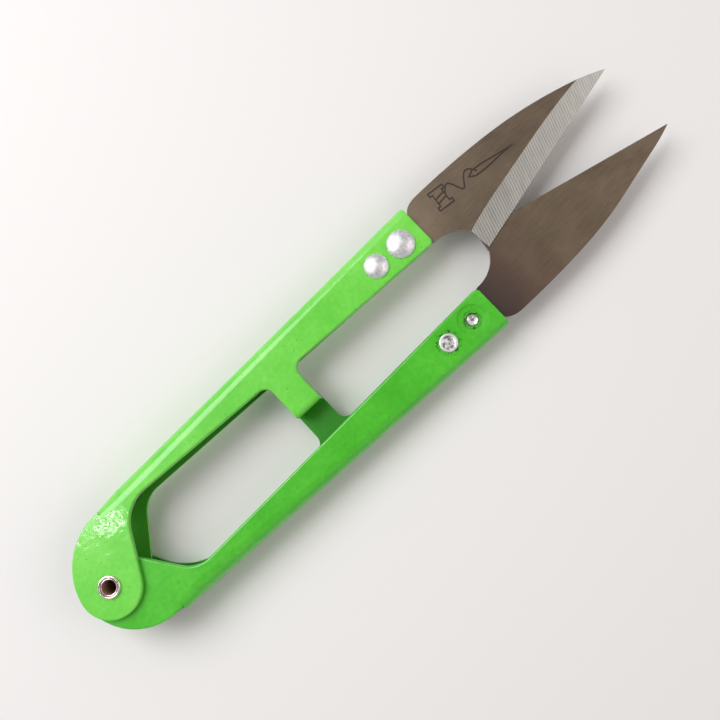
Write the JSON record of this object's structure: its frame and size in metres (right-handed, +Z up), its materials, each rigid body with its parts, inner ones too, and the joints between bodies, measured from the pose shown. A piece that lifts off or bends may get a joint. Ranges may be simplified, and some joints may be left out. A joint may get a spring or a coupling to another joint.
{
  "type": "thread snips",
  "caption": "Spring-loaded thread snips: folded sheet-steel handles hinged on a hollow eyelet, pointed blades riveted in front, with interlocking hooks that stop the opening.",
  "frame": {"origin": "on the pivot axis, at the plane where the two blades slide over each other", "axes": "+X from the pivot to the blade tips, +Y to the half whose bevel faces up, +Z up along the pivot axis"},
  "size_m": [0.1203, 0.0254, 0.0088],
  "materials": {
    "green_enamel": "glossy lime-green stoved enamel",
    "blade_steel": "ground and brushed blade steel with a bronze-grey cast",
    "rivet_aluminium": "satin aluminium rivets",
    "eyelet_nickel": "nickel-plated rolled eyelet",
    "spring_wire": "dark drawn spring wire"
  },
  "bodies": {
    "lower_half": {"lower_handle": "green_enamel", "lower_blade": "blade_steel", "lower_front_rivet": "rivet_aluminium", "lower_rear_rivet": "rivet_aluminium", "pivot_eyelet": "eyelet_nickel", "torsion_spring": "spring_wire"},
    "upper_half": {"upper_handle": "green_enamel", "upper_blade": "blade_steel", "upper_front_rivet": "rivet_aluminium", "upper_rear_rivet": "rivet_aluminium"}
  },
  "joints": [
    {"name": "pivot", "type": "hinge", "parent": "lower_half", "child": "upper_half", "pos_m": [0, 0, 0], "axis": [0, 0, -1], "range_deg": [0, 6.8], "stiffness_Nm_per_rad": 0.6, "springref_deg": -20.05, "deforming": ["torsion_spring"]}
  ]
}
